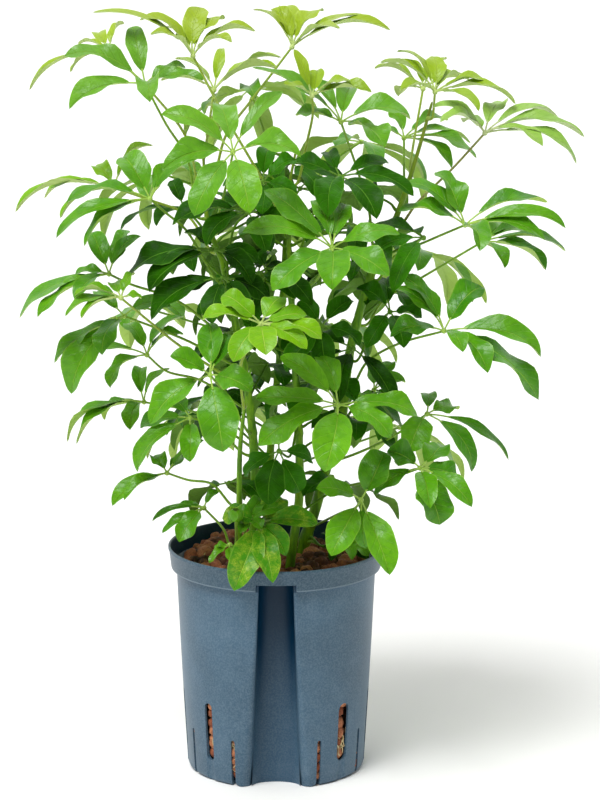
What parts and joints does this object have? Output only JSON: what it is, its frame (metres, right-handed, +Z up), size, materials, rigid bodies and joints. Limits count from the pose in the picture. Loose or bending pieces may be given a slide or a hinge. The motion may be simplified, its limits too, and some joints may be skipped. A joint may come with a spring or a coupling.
{
  "type": "potted umbrella plant",
  "caption": "Bushy umbrella plant with palmate leaves on branching stems, rooted in clay granules in a tapered plastic pot with a collar, a gauge recess and drain slots.",
  "frame": {"origin": "the middle of the pot's flat underside, on the pot's axis", "axes": "+Z up along the pot's axis; the pot's gauge recess, the side the picture shows, faces -Y; +X is to the viewer's right"},
  "size_m": [0.462, 0.3714, 0.6376],
  "materials": {
    "pot_plastic": "satin",
    "fired_clay": "matte",
    "green_bark": "matte",
    "leaf_green": "satin",
    "leaf_young": "satin",
    "leaf_shaded": "satin"
  },
  "bodies": {
    "root": {"pot": "pot_plastic", "clay_granules": "fired_clay", "stem_main": "green_bark", "stem_left": "green_bark", "stem_young": "green_bark", "stem_middle": "green_bark", "stem_rear": "green_bark", "leaf_front_left": "leaf_green", "leaf_front_middle": "leaf_green", "leaf_front_low": "leaf_green", "leaf_front_lower_left": "leaf_green", "leaf_right_low": "leaf_green", "leaf_low_middle": "leaf_green", "leaf_over_rim": "leaf_green", "leaf_right_long": "leaf_green", "leaf_right_upper": "leaf_green", "leaf_right_inner": "leaf_green", "leaf_right_top": "leaf_green", "leaf_behind_right": "leaf_green", "leaf_upper_side": "leaf_green", "leaf_left_upper": "leaf_green", "leaf_left_wide": "leaf_green", "leaf_left_tip": "leaf_green", "leaf_left_broad": "leaf_green", "leaf_left_arch": "leaf_green", "leaf_left_low": "leaf_green", "leaf_left_hanging": "leaf_green", "leaf_lowest_left": "leaf_green", "leaf_rim_left": "leaf_green", "leaf_rim_right": "leaf_green", "leaf_right_small": "leaf_green", "leaf_right_hanging": "leaf_green", "leaf_rear_1": "leaf_green", "leaf_rear_2": "leaf_green", "leaf_rear_3": "leaf_green", "leaf_rear_4": "leaf_green", "leaf_rear_5": "leaf_green", "leaf_rear_6": "leaf_green", "leaf_rear_7": "leaf_green", "leaf_rear_8": "leaf_green", "leaf_rear_9": "leaf_green", "leaf_young_front": "leaf_young", "leaf_crown_main": "leaf_young", "leaf_crown_rear": "leaf_young", "leaf_young_upper": "leaf_young", "leaf_top": "leaf_young", "leaf_top_left": "leaf_young", "leaf_left_young": "leaf_young", "leaf_crown_left": "leaf_young", "leaf_left_far": "leaf_young", "leaf_left_lime": "leaf_young", "leaf_upper_middle": "leaf_shaded", "leaf_inner_olive": "leaf_shaded", "leaf_inner_left": "leaf_shaded", "leaf_inner_dark": "leaf_shaded", "leaf_inner_low": "leaf_shaded", "leaf_left_inner": "leaf_shaded", "leaf_hanging_middle": "leaf_shaded", "leaf_shade_right": "leaf_shaded", "leaf_shade_middle": "leaf_shaded"}
  },
  "joints": []
}
